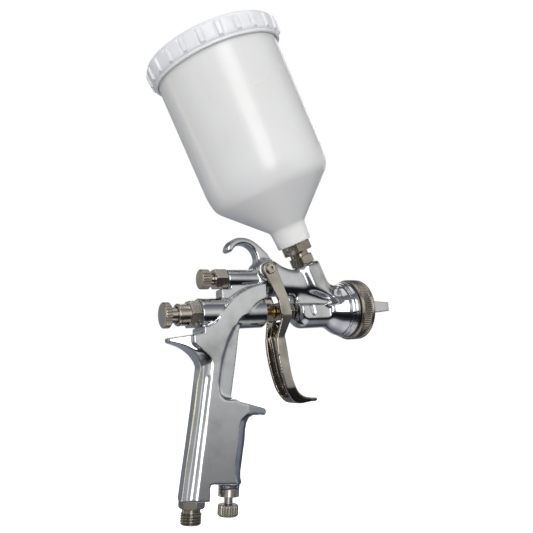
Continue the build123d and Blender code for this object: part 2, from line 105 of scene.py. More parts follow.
class Graph:
    def __init__(self, tree):
        self.tree = tree
        self.tree.nodes.clear()

    def add(self, kind, settings=None, sockets=None, out=0):
        node = self.tree.nodes.new(kind)
        for name, value in (settings or {}).items():
            if name == "stops":
                ramp = node.color_ramp
                while len(ramp.elements) < len(value):
                    ramp.elements.new(0.5)
                for element, (place, tone) in zip(ramp.elements, value):
                    element.position = place
                    element.color = (*tone, 1)
            else:
                setattr(node, name, value)
        for key, value in (sockets or {}).items():
            if isinstance(value, Wire):
                self.tree.links.new(value.socket, node.inputs[key])
            else:
                node.inputs[key].default_value = value
        return Wire(self, node.outputs[out]) if len(node.outputs) else node


def clamped(wire, low, high):  # 0 below low, 1 above high, smooth between
    return wire.graph.add("ShaderNodeMapRange", {"interpolation_type": "SMOOTHSTEP"},
                          {"Value": wire, "From Min": low, "From Max": high})


def mixed(graph, factor, first, second):  # colours only
    return graph.add("ShaderNodeMix", {"data_type": "RGBA"}, {0: factor, 6: first, 7: second}, 2)


def rgba(tone):
    return (*tone, 1)


metalLook = {
    "tone": (0.62, 0.63, 0.65), "deep": (0.50, 0.51, 0.53), "worn": (0.72, 0.72, 0.72),
    "rough": 0.10, "spread": 0.10, "metal": 1.0, "edge": 0.0004, "wear": 0.5,
    "patch": 55, "grit": 1800, "gritDepth": 0.000006, "wave": 90, "waveDepth": 0.00005,
    "grain": (1, 1, 1), "grainDepth": 0.0, "grainScale": 900, "dirt": 0.25, "dirtAndShadeTone": (0.16, 0.14, 0.12),
    # corner and shade: reach and strength of the painted shade that darkens creases, corners and joints between parts
    "corner": 0.003, "shade": 0.55, "satin": 0.0,
    "wornRough": 0.12, "grainRough": 0.10, "plainRough": 0.03, "gritRough": 0.05,
}


def finishFor(name, settings):
    look = {**metalLook, **settings}
    material = bpy.data.materials.new(name)
    material.use_nodes = True
    graph = Graph(material.node_tree)
    place = graph.add("ShaderNodeTexCoord", out=3)
    patches = graph.add("ShaderNodeTexNoise", None, {"Vector": place, "Scale": look["patch"], "Detail": 3})
    grit = graph.add("ShaderNodeTexNoise", None, {"Vector": place, "Scale": look["grit"], "Detail": 2})
    wave = graph.add("ShaderNodeTexNoise", None, {"Vector": place, "Scale": look["wave"], "Detail": 1})
    stretched = graph.add("ShaderNodeVectorMath", {"operation": "MULTIPLY"}, {0: place, 1: look["grain"]})
    grain = graph.add("ShaderNodeTexNoise", None,
                      {"Vector": stretched, "Scale": look["grainScale"], "Detail": 3})
    soft = graph.add("ShaderNodeBevel", {"samples": 6}, {"Radius": look["edge"]})
    facing = graph.add("ShaderNodeNewGeometry", out=1)
    bend = graph.add("ShaderNodeVectorMath", {"operation": "DOT_PRODUCT"}, {0: soft, 1: facing}, 1)
    edges = clamped(1 - bend, 0.004, 0.10)
    wear = edges * clamped(patches, 0.38, 0.62) * look["wear"]
    hollow = clamped(patches, 0.52, 0.74) * look["dirt"]
    colour = mixed(graph, clamped(patches, 0.35, 0.7), rgba(look["tone"]), rgba(look["deep"]))
    colour = mixed(graph, hollow, colour, rgba(look["dirtAndShadeTone"]))
    colour = mixed(graph, wear, colour, rgba(look["worn"]))
    # painted shade: ambient occlusion darkens creases, corners and joints between parts towards the dark tone, so
    # that tone serves as both the dirt colour and the painted shade colour
    openness = graph.add("ShaderNodeAmbientOcclusion", {"samples": 8}, {"Distance": look["corner"]}, 1)
    colour = mixed(graph, (1 - clamped(openness, 0.15, 0.85)) * look["shade"], colour, rgba(look["dirtAndShadeTone"]))
    rough = look["rough"] + look["spread"] * clamped(patches, 0.3, 0.75) + wear * look["wornRough"]
    if look["satin"]:  # ground flat sides are duller than the polished rounds
        across = graph.add("ShaderNodeSeparateXYZ", None, {0: facing}, 1)
        rough = rough + clamped(across * across, 0.93, 0.985) * look["satin"]
    streaks = look["grainRough"] if look["grainDepth"] else look["plainRough"]
    rough = rough + (grain - 0.5) * streaks + (grit - 0.5) * look["gritRough"]
    height = (grit * look["gritDepth"] + wave * look["waveDepth"] + grain * look["grainDepth"]) * 1000
    normal = graph.add("ShaderNodeBump", None, {"Strength": 1.0, "Distance": mm, "Height": height, "Normal": soft})
    shader = graph.add("ShaderNodeBsdfPrincipled", None, {
        "Base Color": colour, "Roughness": rough, "Normal": normal, "Metallic": look["metal"],
        **look.get("constants", {})})
    graph.add("ShaderNodeOutputMaterial", None, {"Surface": shader})
    return material


def dress(piece, material):  # one finish for the whole piece
    piece.data.materials.clear()
    piece.data.materials.append(material)


def dressNode(name, material):
    for slot in nodes[name].material_slots:
        slot.material = material
    if not nodes[name].material_slots:
        nodes[name].data.materials.append(material)


def settle(piece, body, slotName, material, *replaced):
    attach(piece, body)
    if replaced:
        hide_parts(*replaced)
    dress(piece, material)
    return piece


def eased(profile, radius, steps=3, closed=True):  # rounds the corners of a profile
    points = [np.array(point, float) for point in profile]
    result = []
    for index, point in enumerate(points):
        before, after = points[index - 1], points[(index + 1) % len(points)]
        onAxis = point[1] < 1e-6 or (not closed and index in (0, len(points) - 1))
        reach = min(radius, 0.42 * np.linalg.norm(before - point), 0.42 * np.linalg.norm(after - point))
        if onAxis or reach < 0.01:
            result.append(point)
            continue
        start = point + (before - point) / np.linalg.norm(before - point) * reach
        end = point + (after - point) / np.linalg.norm(after - point) * reach
        for step in range(steps + 1):
            t = step / steps
            result.append((1 - t) ** 2 * start + 2 * t * (1 - t) * point + t * t * end)
    return result


def filled(profile, step):  # adds rows so that a rib or a thread has room to start and stop
    result = []
    for index, point in enumerate(profile):
        after = profile[(index + 1) % len(profile)]
        result.append(point)
        run = np.linalg.norm(np.array(after) - np.array(point))
        count = int(run / step) if abs(after[0] - point[0]) > 0.5 * run else 0
        for part in range(1, count):
            result.append(np.array(point) + (np.array(after) - np.array(point)) * part / count)
    return result


def turning(name, axis, profile, segments=96, shape=None):
    origin, along = axis
    side = np.array([0, 1.0, 0])
    up = np.cross(along, side)
    s = np.array([point[0] for point in profile])[:, None]
    r = np.array([point[1] for point in profile])[:, None]
    angle = np.linspace(0, 2 * pi, segments, endpoint=False)[None, :]
    radius = np.broadcast_to(r, (len(profile), segments)).copy()
    if shape:
        radius = shape(s, radius, angle)
    radius = np.where(r < 1e-6, 0, radius)
    spin = np.cos(angle)[..., None] * side + np.sin(angle)[..., None] * up
    grid = origin + (s[..., None] * along + radius[..., None] * spin) * mm
    rows, columns = radius.shape
    faces = []
    for row in range(rows):
        below = (row + 1) % rows
        if r[row, 0] < 1e-6 and r[below, 0] < 1e-6:
            continue
        for column in range(columns):
            beside = (column + 1) % columns
            faces.append((row * columns + column, row * columns + beside,
                          below * columns + beside, below * columns + column))
    mesh = bpy.data.meshes.new(name)
    mesh.from_pydata(grid.reshape(-1, 3).tolist(), [], faces)
    shaped = bmesh.new()
    shaped.from_mesh(mesh)
    bmesh.ops.remove_doubles(shaped, verts=shaped.verts, dist=2e-6)
    bmesh.ops.recalc_face_normals(shaped, faces=shaped.faces)
    shaped.to_mesh(mesh)
    shaped.free()
    mesh.polygons.foreach_set("use_smooth", [True] * len(mesh.polygons))
    mesh.set_sharp_from_angle(angle=radians(38))
    piece = bpy.data.objects.new(name, mesh)
    bpy.context.scene.collection.objects.link(piece)
    return piece


def band(s, low, high, blend=0.35):  # 1 between low and high, falling off over blend
    return np.clip((s - low) / blend, 0, 1) * np.clip((high - s) / blend, 0, 1)


def ribbed(count, depth, low, high, outer, sharp=1.0):
    def shape(s, r, angle):
        groove = (0.5 - 0.5 * np.cos(count * angle)) ** sharp
        return r - depth * groove * band(s, low, high) * (r > outer)
    return shape


def hexed(flats, low, high, then=None, phase=0.0):
    def shape(s, r, angle):
        wrapped = np.mod(angle + phase, pi / 3) - pi / 6
        inside = (s > low - 0.01) & (s < high + 0.01) & (r > flats / 2 - 0.3)
        result = np.where(inside, np.minimum(r, flats / 2 / np.cos(wrapped)), r)
        return then(s, result, angle) if then else result
    return shape


def looseCopy(node, name):
    mesh = nodes[node].data.copy()
    welded = bmesh.new()
    welded.from_mesh(mesh)
    bmesh.ops.remove_doubles(welded, verts=welded.verts, dist=2e-6)
    welded.to_mesh(mesh)
    welded.free()
    piece = bpy.data.objects.new(name, mesh)
    bpy.context.scene.collection.objects.link(piece)
    return piece


def cutterFrom(levels, turned):  # outlines in x and z, each at its own y, in mm, joined up
    block = bmesh.new()
    rings = [[block.verts.new((x * mm, y * turned * mm, z * mm)) for x, z in outline] for y, outline in levels]
    block.faces.new(rings[0])
    block.faces.new(rings[-1])
    for ring, further in zip(rings, rings[1:]):
        for index in range(len(ring)):
            beside = (index + 1) % len(ring)
            block.faces.new((ring[index], ring[beside], further[beside], further[index]))
    bmesh.ops.triangulate(block, faces=block.faces)
    bmesh.ops.recalc_face_normals(block, faces=block.faces)
    mesh = bpy.data.meshes.new("cutter")
    block.to_mesh(mesh)
    block.free()
    cutter = bpy.data.objects.new("cutter", mesh)
    bpy.context.scene.collection.objects.link(cutter)
    return cutter


def between(first, second, share):
    return [(x + (u - x) * share, z + (w - z) * share) for (x, z), (u, w) in zip(first, second)]


def applied(piece):
    view = bpy.context.evaluated_depsgraph_get()
    mesh = bpy.data.meshes.new_from_object(piece.evaluated_get(view))
    piece.modifiers.clear()
    piece.data = mesh
    return mesh


def relax(mesh, passes, weights):  # rounds a remeshed piece; weights say how much, vertex by vertex
    count = len(mesh.vertices)
    co = np.zeros(count * 3)
    mesh.vertices.foreach_get("co", co)
    co = co.reshape(-1, 3)
    edges = np.zeros(len(mesh.edges) * 2, np.int64)
    mesh.edges.foreach_get("vertices", edges)
    edges = edges.reshape(-1, 2)
    ends = np.concatenate([edges[:, 0], edges[:, 1]])
    others = np.concatenate([edges[:, 1], edges[:, 0]])
    degree = np.maximum(np.bincount(ends, minlength=count), 1)[:, None]
    amount = weights(co / mm)[:, None]
    for turn in range(passes):
        near = np.stack([np.bincount(ends, co[others, k], count) for k in range(3)], 1) / degree
        co = co + (near - co) * np.clip(amount - turn / passes, 0, 0.5)
    mesh.vertices.foreach_set("co", co.reshape(-1))
    mesh.update()


def casting(name, node, look):
    piece = looseCopy(node, name)
    spare = []
    for operation, levels in look.get("cuts", []):
        for turned in (1, -1):
            cutter = cutterFrom(levels, turned)
            boolean = piece.modifiers.new("cut", "BOOLEAN")
            boolean.operation = operation
            boolean.solver = "MANIFOLD"
            boolean.object = cutter
            spare.append(cutter)
    remesh = piece.modifiers.new("even", "REMESH")
    remesh.mode = "VOXEL"
    remesh.voxel_size = look["voxel"] * mm
    mesh = applied(piece)
    for cutter in spare:
        bpy.data.objects.remove(cutter)
    relax(mesh, look["passes"], look["weights"])
    mesh.polygons.foreach_set("use_smooth", [True] * len(mesh.polygons))
    print(name, len(mesh.vertices), "vertices")
    return piece


# Body casting: softened from the machined shape, with the web and its curled recess beside the housing
softness = {"plain": 0.36, "head": 0.2, "barrel": 0.25, "foot": 0.24, "hook": 0.5, "horn": 0.32, "bridge": 3.2}


def bodyWeights(p):
    x, z = p[:, 0], p[:, 2]
    weight = np.full(len(p), softness["plain"])
    weight[x > 122] = softness["head"]
    barrel = (x < 62) & (z > 117) & (z < 150)
    weight[barrel] = softness["barrel"]
    foot = (z < 66) | (x < 12)
    weight[foot & ~barrel & (z < 118)] = softness["foot"]
    weight[(x < 66) & (z > 160)] = softness["hook"]
    weight[(x < 6) & (z > 104)] = softness["horn"]
    weight[(x > 68) & (x < 123) & (z > 137 - np.clip(x - 100, 0, 20) * 0.2)] = softness["bridge"]
    return weight


sidePanel = {  # where the flat side ends, and where the bevel or the round beyond it ends, in x and z
    "rearEdge": [(4.6, 119), (4.9, 110.5), (8.9, 106.6), (13.2, 103.5), (16.6, 100.4), (17.7, 96.9), (16.9, 91.4),
                 (12.9, 70.1), (8.8, 47.1), (5.3, 32.3), (1.2, 12.0), (-25, 12.0), (-25, 119)],
    "rearBevel": [(-5.6, 119), (-5.6, 112.0), (5.4, 108.2), (10.5, 104.8), (13.9, 101.1), (15.4, 97.1),
                  (14.6, 92.9), (9.9, 70.1), (5.4, 47.4), (2.2, 29.5), (-1.8, 12.0), (-25.1, 12.0), (-25.1, 119)],
    "rearBack": [(-9, 119), (-8.0, 109.2), (2.6, 105.9), (7.4, 102.6), (10.6, 99.4), (11.9, 96.0), (11.1, 91.5),
                 (6.9, 70.1), (2.2, 47.4), (-1.5, 29.5), (-5.2, 12.0), (-25.3, 12.0), (-25.3, 119)],
    "crown": [(10.8, 97), (9.8, 92), (8.0, 85), (4.9, 70.1), (0.2, 47.4), (-3.5, 29.5), (-6.6, 14.3), (1, 14.1),
              (16, 95)],
    "frontEdge": [(70, 57.0), (43.0, 63.6), (37.3, 61.2), (34.3, 59.3), (32.6, 55.1), (30.9, 44.1), (28.2, 32.7),
                  (27.6, 24.9), (29.1, 19.6), (30.9, 13.6), (70, 13.6)],
    "frontRound": [(70.2, 54.0), (47.2, 60.6), (43.6, 59.3), (41.4, 56.2), (40.4, 52.2), (39.0, 44.1),
                   (36.3, 32.7), (34.7, 26.0), (34.5, 21.9), (36.2, 13.2), (70.2, 13.2)],
    "hornRoot": [(4.4, 110.8), (4.5, 116.2), (14, 117.1), (16, 108), (13.4, 103.4), (9.0, 106.6)],
    "bridgeUnder": [(64, 147.5), (77, 145.6), (90, 145.0), (104, 142.8), (116, 138.8), (121, 134), (90, 134),
                    (64, 139)],
    "web": [(90.6, 142.5), (114, 131.5), (113.5, 121.5), (96, 121.6), (90.2, 126)],
    "curl": [(95.4, 138.2), (98.2, 137.8), (99.6, 133.6), (100.9, 127.6), (99.2, 125.4), (96.9, 127.2),
             (95.8, 132.0)],
    "pocketRim": [(46.5, 120.9), (35.2, 120.9), (32.6, 118.9), (28.0, 111.3), (23.2, 99.6), (19.9, 84.2),
                  (20.7, 76.0), (24.0, 73.2), (29.0, 72.3), (33, 80), (44, 112)],
    "pocket": [(46.6, 120.8), (37.2, 120.7), (34.9, 118.2), (30.3, 110.7), (25.5, 99.0), (21.9, 84.0),
               (22.6, 77.4), (25.4, 74.6), (29.1, 73.1), (33.1, 80), (44.1, 112)],
}
rearBack, rearBevel, rearEdge = (sidePanel[key] for key in ("rearBack", "rearBevel", "rearEdge"))
frontRound, frontEdge = sidePanel["frontRound"], sidePanel["frontEdge"]
bodyLook = {
    "voxel": 0.55, "passes": 80, "weights": bodyWeights,
    "cuts": [
        ("UNION", [(6, sidePanel["hornRoot"]), (11, sidePanel["hornRoot"])]),
        ("UNION", [(-0.3, sidePanel["crown"]), (9, sidePanel["crown"])]),
        ("DIFFERENCE", [(-0.6, between(rearBevel, rearBack, 1.62)), (3.0, between(rearBevel, rearBack, 1.56)),
                        (5.5, between(rearBevel, rearBack, 1.34)), (7.5, between(rearBevel, rearBack, 0.98)),
                        (9.2, between(rearBevel, rearBack, 0.45)), (11.3, rearEdge), (13, rearEdge)]),
        ("DIFFERENCE", [(7.6, sidePanel["pocket"]), (11.2, sidePanel["pocketRim"]), (13, sidePanel["pocketRim"])]),
        ("DIFFERENCE", [(-0.7, frontRound), (4.5, frontRound), (8.6, between(frontRound, frontEdge, 0.45)),
                        (11.2, frontEdge), (13, frontEdge)]),
        ("DIFFERENCE", [(5.6, sidePanel["bridgeUnder"]), (20, sidePanel["bridgeUnder"])]),
        ("DIFFERENCE", [(11, sidePanel["web"]), (20, sidePanel["web"])]),
        ("DIFFERENCE", [(10, sidePanel["curl"]), (20, sidePanel["curl"])]),
    ],
    "finish": {"tone": (0.62, 0.63, 0.65), "deep": (0.54, 0.55, 0.57), "worn": (0.66, 0.66, 0.66), "rough": 0.05,
               "spread": 0.07, "satin": 0.17, "grain": (1, 1, 0.06), "grainScale": 1500,
               "grainDepth": 0.0000015},
}
gunCasting = casting("gunCasting", "gun_body", bodyLook)
settle(gunCasting, "gun", "body_chrome", finishFor("bodyChrome", bodyLook["finish"]), "gun_body")

triggerLook = {
    "voxel": 0.4, "passes": 16, "weights": lambda p: np.full(len(p), 0.9),
    "finish": {"tone": (0.44, 0.405, 0.365), "deep": (0.29, 0.26, 0.23), "rough": 0.06, "spread": 0.12,
               "dirt": 0.35, "waveDepth": 0.00015},
}
triggerCasting = casting("triggerCasting", "trigger", triggerLook)
settle(triggerCasting, "trigger", "satin_nickel", finishFor("satinNickel", triggerLook["finish"]), "trigger")

capLook = {
    "voxel": 0.3, "passes": 8, "weights": lambda p: np.full(len(p), 0.8),
    "finish": {"tone": (0.64, 0.64, 0.63), "deep": (0.55, 0.55, 0.54), "rough": 0.3, "spread": 0.1},
}
sprayCap = casting("sprayCap", "air_cap", capLook)
settle(sprayCap, "spray_cap", "cap_nickel", finishFor("capNickel", capLook["finish"]), "air_cap")
print("castings done")

# Turned nickel: knobs, hexagons, ring and inlet
nickelLook = {"tone": (0.64, 0.58, 0.51), "deep": (0.50, 0.445, 0.38), "worn": (0.6, 0.56, 0.5), "rough": 0.14,
              "spread": 0.13, "grit": 2600, "gritDepth": 0.000012}
nickel = finishFor("nickel", nickelLook)
darkNickel = finishFor("darkNickel", {**nickelLook, "tone": (0.36, 0.33, 0.28), "deep": (0.25, 0.225, 0.19),
                                     "rough": 0.12})

fluidKnobLook = {"ribs": 26, "depth": 0.7, "segments": 312}
profile = [(-12.4, 0), (-12.4, 7.9), (-11.8, 8.57), (-8.1, 8.57), (-7.5, 7.9), (-7.5, 5.3), (1.0, 5.3),
           (1.0, 3.95), (13.7, 3.95), (13.7, 2.0), (7, 2.0), (7, 0)]
fluidKnob = turning("fluidKnobHead", needleAxis, filled(eased(profile, 0.35), 0.5), fluidKnobLook["segments"],
                    ribbed(fluidKnobLook["ribs"], fluidKnobLook["depth"], -11.9, -7.6, 7.0, 3.0))
settle(fluidKnob, "fluid_control", "nickel", nickel, "fluid_knob")

fanKnobLook = {"ribs": 22, "depth": 0.65, "segments": 264}
profile = [(15.1, 0), (15.1, 6.2), (15.7, 6.87), (21.2, 6.87), (21.8, 6.2), (21.8, 3.8), (29.6, 3.8), (29.6, 1.6),
           (16.5, 1.6), (16.5, 0)]
fanKnob = turning("fanKnobHead", fanAxis, filled(eased(profile, 0.3), 0.5), fanKnobLook["segments"],
                  ribbed(fanKnobLook["ribs"], fanKnobLook["depth"], 15.5, 21.6, 5.6, 3.0))
settle(fanKnob, "fan_control", "nickel", nickel, "fan_knob")

regulatorKnobLook = {"ribs": 20, "depth": 0.6, "segments": 240}
profile = [(-16.8, 0), (-16.8, 5.6), (-15.8, 6.75), (-10.2, 6.75), (-9.5, 6.1), (-9.5, 1.6), (-15, 1.6), (-15, 0)]
regulatorKnob = turning("regulatorKnobHead", regulatorAxis, filled(eased(profile, 0.3), 0.5),
                        regulatorKnobLook["segments"],
                        ribbed(regulatorKnobLook["ribs"], regulatorKnobLook["depth"], -16.2, -9.6, 5.4, 3.0))
settle(regulatorKnob, "regulator_control", "nickel", nickel, "regulator_knob")

ringLook = {"ribs": 96, "depth": 0.5, "segments": 768}
profile = [(135.0, 20.07), (135.0, 22.0), (135.5, 22.5), (136.1, 22.5), (136.4, 23.0), (143.6, 23.0),
           (144.0, 22.5), (144.5, 22.4), (144.9, 22.9), (146.2, 22.9), (147.0, 22.1), (147.0, 20.2),
           (145.1, 20.2), (145.1, 21.5), (141.2, 21.5), (141.2, 20.07)]
capRing = turning("capRingKnurled", needleAxis, filled(eased(profile, 0.2, 2), 0.8), ringLook["segments"],
                  ribbed(ringLook["ribs"], ringLook["depth"], 136.5, 143.6, 22.6, 0.8))
ringNickel = finishFor("ringNickel", {**nickelLook, "tone": (0.54, 0.485, 0.42), "deep": (0.40, 0.355, 0.30)})
settle(capRing, "cap_ring", "nickel", ringNickel, "air_cap_ring")

hexLook = {"segments": 120, "turned": ("outletHex", "lockHex")}
hexPieces = {
    "rearHexCollar": (needleAxis, "gun", "fluid_bushing", nickel, 17.5, 5.2, 12.4, [
        (-2.8, 5.7), (-2.8, 6.9), (-2.2, 7.5), (-0.8, 7.5), (-0.8, 7.3), (5.2, 7.3), (5.2, 9.2), (5.8, 10.1),
        (11.8, 10.1), (12.4, 9.2), (12.4, 7.48), (24, 7.48), (24, 5.5), (13, 5.5), (13, 4.0), (4, 4.0), (4, 5.7)]),
    "fanHexCollar": (fanAxis, "gun", "fan_bushing", nickel, 13.0, 25.2, 34.2, [
        (25.2, 4.1), (25.2, 6.7), (25.7, 7.5), (33.7, 7.5), (34.2, 6.7), (34.2, 4.98), (44, 4.98), (44, 3.0),
        (32, 3.0), (32, 4.1)]),
    "packingHex": (needleAxis, "gun", "packing_nut", nickel, 11.0, 82.5, 86.4, [
        (82.5, 2.05), (82.5, 5.6), (82.9, 6.35), (86.0, 6.35), (86.4, 5.6), (86.4, 4.9), (87.0, 4.9),
        (87.0, 4.58), (99.9, 4.58), (99.9, 2.05)]),
    "outletHex": (cupAxis, "paint_cup", "cup_outlet", darkNickel, 21.0, -5.7, 1.2, [
        (-27.5, 4.6), (-27.5, 6.95), (-5.7, 6.95), (-5.7, 10.8), (-4.9, 12.12), (0.4, 12.12), (1.2, 10.8),
        (1.2, 8.98), (12, 8.98), (12, 4.6)]),
    "lockHex": (cupAxis, "lock_nut", "cup_lock_nut", darkNickel, 17.0, -15.3, -8.9, [
        (-15.3, 7.0), (-15.3, 8.8), (-14.6, 9.8), (-9.6, 9.8), (-8.9, 8.8), (-8.9, 7.0)]),
}
for name, (axis, body, node, finish, flats, low, high, profile) in hexPieces.items():
    phase = pi / 6 if name in hexLook["turned"] else 0.0
    piece = turning(name, axis, filled(eased(profile, 0.22, 2), 1.2), hexLook["segments"],
                    hexed(flats, low, high, phase=phase))
    settle(piece, body, "nickel", finish, node)


threadLook = {"pitch": 1.6, "depth": 0.85, "first": -0.4, "last": 5.9, "root": 6.0, "slope": 3.2, "segments": 144}


def threaded(s, r, angle):  # one helical groove on the stretch below the neck
    turn = np.mod((s + 0.7) / threadLook["pitch"] - angle / (2 * pi), 1)
    groove = np.clip(1 - np.abs(turn - 0.5) * threadLook["slope"], 0, 1)
    stretch = band(s, threadLook["first"], threadLook["last"], 0.5) * (r > threadLook["root"])
    return r - threadLook["depth"] * groove * stretch


inletProfile = [(-0.7, 3.6), (-0.7, 5.7), (0, 6.58), (6.0, 6.58), (6.3, 5.75), (8.9, 5.75), (8.9, 7.6), (9.6, 8.43),
                (13.0, 8.43), (13.6, 7.6), (13.6, 5.48), (24, 5.48), (24, 3.6)]
inletPiece = turning("inletThreaded", inletAxis, filled(eased(inletProfile, 0.2, 2), 0.16), threadLook["segments"],
                     hexed(14.6, 8.9, 13.6, threaded))
settle(inletPiece, "gun", "nickel", darkNickel, "air_inlet")
print("turned pieces done")

# Cup: a translucent moulding
cupLook = {
    "tone": (0.80, 0.795, 0.79), "deep": (0.775, 0.77, 0.76), "worn": (0.86, 0.85, 0.84), "metal": 0.0, "patch": 20,
    "rough": 0.20, "spread": 0.08, "edge": 0.0006, "wear": 0.1, "dirt": 0.05, "dirtAndShadeTone": (0.7, 0.66, 0.6),
    "grit": 900, "gritDepth": 0.000004, "waveDepth": 0.00003, "segments": 192,
    "constants": {"Subsurface Weight": 0.45, "Subsurface Radius": (0.008, 0.0075, 0.0065),
                  "Subsurface Scale": 1.0, "IOR": 1.5, "Coat Weight": 0.3, "Coat Roughness": 0.08},
}
profile = [(1.2, 9.0), (1.2, 12.6), (2.0, 12.9), (12.6, 13.6), (15.6, 14.2), (45.4, 45.1), (56.5, 47.2),
           (156, 47.2), (156, 45), (52.6, 45), (47.6, 43.4), (16.5, 11.8), (12.2, 10.9), (12.2, 9.0)]
cupShell = turning("cupShell", cupAxis, filled(eased(eased(profile, 7.0, 7), 0.3, 2), 4.0), cupLook["segments"])
settle(cupShell, "paint_cup", "cup_plastic", finishFor("cupPlastic", cupLook), "cup")

lidLook = {
    "tone": (0.80, 0.81, 0.84), "deep": (0.76, 0.77, 0.80), "worn": (0.86, 0.87, 0.89), "metal": 0.0,
    "rough": 0.30, "spread": 0.1, "edge": 0.0006, "wear": 0.1, "dirt": 0.05, "dirtAndShadeTone": (0.7, 0.68, 0.66),
    "grit": 1400, "gritDepth": 0.000006, "pads": 24, "padRise": 0.55, "stripRise": 1.70, "segments": 768,
    "constants": {"Subsurface Weight": 0.3, "Subsurface Radius": (0.004, 0.004, 0.004),
                  "Subsurface Scale": 1.0, "IOR": 1.5},
}


def lidRibs(s, r, angle):
    turn = np.mod(angle * lidLook["pads"] / (2 * pi), 1)
    strip = np.clip((0.145 - np.abs(turn - 0.5)) / 0.035, 0, 1)
    pad = np.clip((np.abs(turn - 0.5) - 0.20) / 0.03, 0, 1)
    rise = lidLook["stripRise"] * strip * band(s, 147.2, 157.4, 0.8)
    rise = rise + lidLook["padRise"] * pad * band(s, 147.2, 158.6, 1.0)
    return r + rise * (r > 50)


profile = [(144.6, 47.55), (144.6, 49.3), (145.0, 49.6), (146.6, 49.6), (146.9, 50.2), (157.5, 50.65), (159.3, 50.05),
           (160.4, 48.2), (160.4, 45.0), (159.2, 43.4), (159.2, 0), (157.6, 0), (157.6, 47.55)]
lidShell = turning("lidShell", cupAxis, filled(eased(profile, 0.9, 4), 0.7), lidLook["segments"],
                   lidRibs)
settle(lidShell, "lid", "lid_plastic", finishFor("lidPlastic", lidLook), "cup_lid")
print("cup and lid done")

# The CAD pieces that keep their own shape
steel = finishFor("turnedSteel", {"tone": (0.52, 0.52, 0.53), "deep": (0.42, 0.42, 0.43), "rough": 0.22,
                                  "grain": (1, 0.05, 1), "grainDepth": 0.000004})
brass = finishFor("agedBrass", {"tone": (0.70, 0.50, 0.20), "deep": (0.48, 0.32, 0.12), "worn": (0.8, 0.62, 0.3),
                                "rough": 0.2, "dirt": 0.5, "dirtAndShadeTone": (0.12, 0.07, 0.03)})
pinNickel = finishFor("pinNickel", {"tone": (0.58, 0.54, 0.48), "deep": (0.48, 0.44, 0.38), "rough": 0.18})
packing = finishFor("packingWhite", {"tone": (0.85, 0.84, 0.80), "deep": (0.78, 0.77, 0.72), "metal": 0.0,
                                     "rough": 0.45, "worn": (0.9, 0.9, 0.88)})
rubber = finishFor("blackRubber", {"tone": (0.03, 0.03, 0.03), "deep": (0.045, 0.045, 0.045), "metal": 0.0,
                                   "rough": 0.6, "worn": (0.08, 0.08, 0.08), "gritDepth": 0.00002})
sieve = finishFor("strainerPlastic", {"tone": (0.78, 0.78, 0.74), "deep": (0.7, 0.7, 0.66), "metal": 0.0,
                                     "rough": 0.4, "worn": (0.85, 0.85, 0.82)})
lidTrim = finishFor("ventPlastic", {**lidLook, "tone": (0.82, 0.84, 0.87)})
keptNodes = {
    "spring_seat": steel, "fluid_needle": steel, "air_valve_gland": brass,
    "air_valve_stem": brass, "needle_packing": packing, "fluid_nozzle": steel,
    "air_baffle": brass, "cap_seal": packing, "fan_spindle": steel, "fan_oring": rubber,
    "regulator_bushing": nickel, "regulator_spindle": steel, "regulator_oring": rubber,
    "trigger_pin": pinNickel, "trigger_screw": pinNickel, "cup_strainer": sieve, "lid_gasket": rubber,
    "vent_plug": lidTrim,
}
for name, material in keptNodes.items():
    dressNode(name, material)

for name, node in (("needleCoil", "needle_spring"), ("valveCoil", "air_valve_spring")):
    coil = settle(looseCopy(node, name), "gun", "steel", steel, node)
    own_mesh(coil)
print("finishes done")

# Camera
cameraLook = {"place": (-135.77, -354.88, 98.6), "yaw": 29.9, "pitch": 8.97, "roll": -4.3, "focal": 570.58,
              "width": 533, "sensor": 36}
yaw, pitch, roll = (radians(cameraLook[key]) for key in ("yaw", "pitch", "roll"))
ahead = Vector((sin(yaw) * cos(pitch), cos(yaw) * cos(pitch), sin(pitch)))
right = Vector((cos(yaw), -sin(yaw), 0))
above = right.cross(ahead)
tiltedRight = right * cos(roll) + above * sin(roll)
tiltedAbove = above * cos(roll) - right * sin(roll)
camera = bpy.data.objects.new("camera", bpy.data.cameras.new("camera"))
bpy.context.scene.collection.objects.link(camera)
camera.data.sensor_width = cameraLook["sensor"]
camera.data.lens = cameraLook["focal"] / cameraLook["width"] * cameraLook["sensor"]
turnedFrame = Matrix((tiltedRight, tiltedAbove, -ahead)).transposed().to_4x4()
camera.matrix_world = Matrix.Translation(Vector(cameraLook["place"]) * mm) @ turnedFrame
camera.data.clip_start = 0.01
bpy.context.scene.camera = camera

